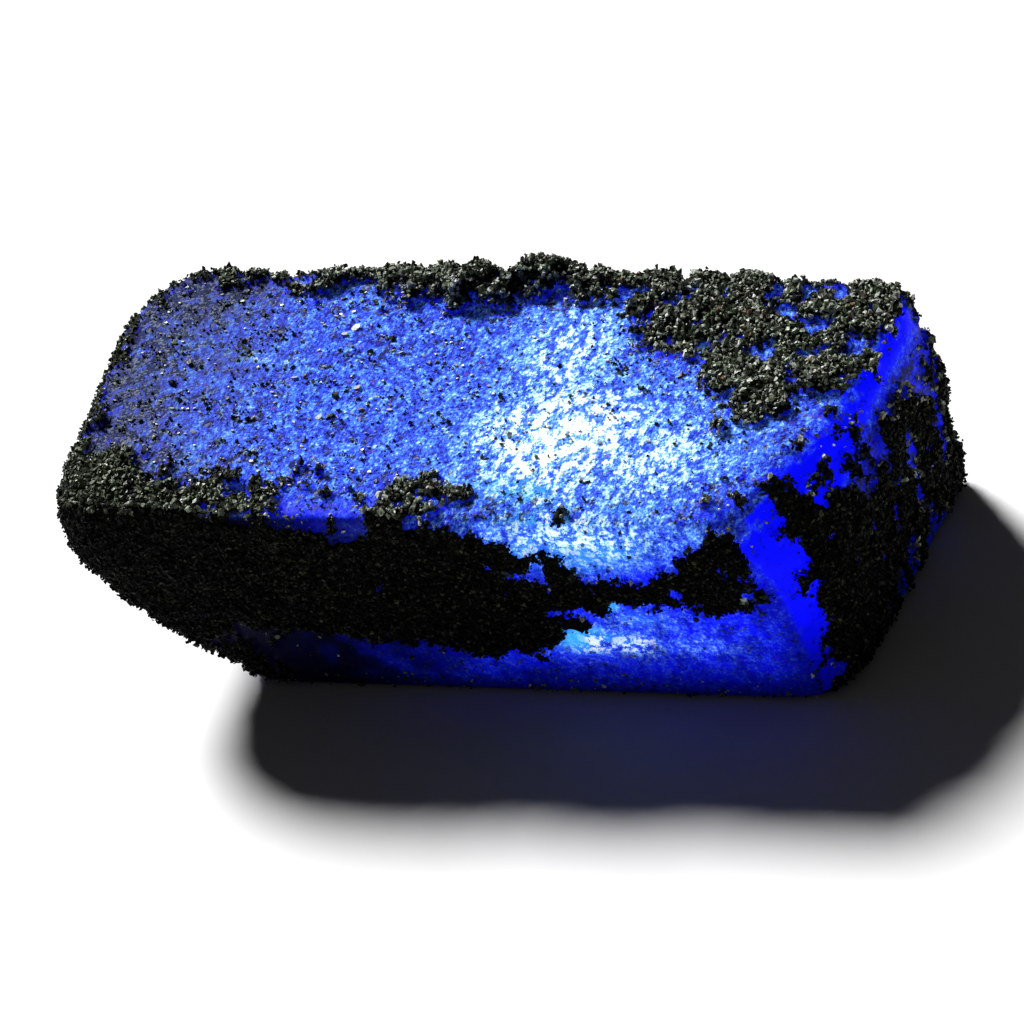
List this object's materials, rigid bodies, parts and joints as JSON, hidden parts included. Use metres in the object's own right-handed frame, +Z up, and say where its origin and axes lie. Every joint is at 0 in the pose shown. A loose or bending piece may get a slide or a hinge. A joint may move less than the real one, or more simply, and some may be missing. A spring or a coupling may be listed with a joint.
{
  "type": "rough sapphire",
  "caption": "Rough blue sapphire: a worn, bar-shaped crystal lying on its flat side, partly covered by a thin crust of dark grit.",
  "frame": {"origin": "middle of the stone's bounding box, on the flat underside that it rests on", "axes": "+X along the stone, towards its bevelled end; +Y towards the side with the thick band of crust; +Z up, out of the wide flat top"},
  "size_m": [0.0412, 0.0204, 0.0126],
  "materials": {
    "sapphire": "frosted deep blue crystal, cloudy, with a satin shine where it is worn smooth",
    "dark_grit": "matt near-black olive grit with small shiny grain faces",
    "pale_flakes": "thin white mica-like flakes with a satin shine"
  },
  "bodies": {
    "root": {"sapphire": "sapphire"}
  },
  "joints": []
}
